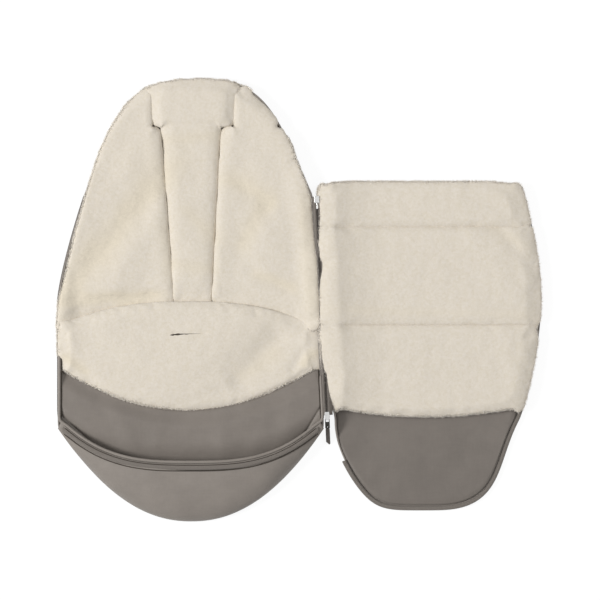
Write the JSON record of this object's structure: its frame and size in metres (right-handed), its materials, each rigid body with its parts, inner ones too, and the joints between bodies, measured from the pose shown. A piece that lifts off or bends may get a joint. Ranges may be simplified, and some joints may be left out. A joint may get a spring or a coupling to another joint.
{
  "type": "stroller footmuff",
  "caption": "Padded footmuff for a pushchair, laid open flat: quilted base with harness slots and a foot pocket, fleece-lined front cover joined by a separable zip.",
  "frame": {"origin": "middle of the base's flat back face, which lies on the pushchair's seat or on the ground", "axes": "+Z out of the back face towards the fleece, +Y along the base to its head end, +X across to the opened cover"},
  "size_m": [0.9728, 0.888, 0.0607],
  "materials": {
    "taupe_shell_fabric": "plain woven, matt",
    "taupe_lining_fabric": "smooth woven, slight sheen",
    "cream_fleece": "deep soft pile",
    "white_wadding": "fibre filling",
    "taupe_zip_tape": "woven tape",
    "dark_zip_nylon": "satin",
    "silver_metal": "satin plated",
    "black_metal": "satin",
    "puller_webbing": "matt"
  },
  "bodies": {
    "base": {"base_outer_shell": "taupe_shell_fabric", "back_wadding": "white_wadding", "left_wing_fleece": "cream_fleece", "right_wing_fleece": "cream_fleece", "centre_panel_fleece": "cream_fleece", "seat_cushion_fleece": "cream_fleece", "foot_lining": "taupe_lining_fabric", "left_harness_slot_binding": "taupe_lining_fabric", "right_harness_slot_binding": "taupe_lining_fabric", "crotch_slot_binding": "taupe_lining_fabric", "toe_panel": "taupe_shell_fabric", "toe_wadding": "white_wadding", "toe_lining": "taupe_lining_fabric", "rim_piping": "taupe_shell_fabric", "base_zip_tape_right": "taupe_zip_tape", "base_zip_tape_toe": "taupe_zip_tape", "base_zip_tape_left": "taupe_zip_tape", "base_zip_coil_toe": "dark_zip_nylon", "base_zip_coil_left": "dark_zip_nylon", "closed_zip_chain": "dark_zip_nylon", "zip_box": "silver_metal"},
    "cover": {"cover_outer_shell": "taupe_shell_fabric", "cover_wadding": "white_wadding", "cover_fleece_top": "cream_fleece", "cover_fleece_middle": "cream_fleece", "cover_fleece_lower": "cream_fleece", "cover_foot_lining": "taupe_lining_fabric", "cover_zip_tape_hinge": "taupe_zip_tape", "cover_zip_tape_free": "taupe_zip_tape", "cover_zip_coil": "dark_zip_nylon", "zip_pin": "silver_metal"},
    "slider": {"slider_body": "silver_metal"},
    "puller": {"puller_link": "black_metal", "puller_tab": "puller_webbing"}
  },
  "joints": [
    {"name": "cover_fold", "type": "hinge", "parent": "base", "child": "cover", "pos_m": [0.2575, -0.011, 0.04], "axis": [0.0479, -0.9989, 0], "range_deg": [0, 180]},
    {"name": "slider_slide", "type": "slide", "parent": "base", "child": "slider", "axis": [-0.0479, 0.9989, 0], "range_m": [0, 0.4]},
    {"name": "puller_swing", "type": "hinge", "parent": "slider", "child": "puller", "pos_m": [0.26831, -0.23649, 0.0325], "axis": [0.9989, 0.0479, 0], "range_deg": [-25, 146]}
  ]
}
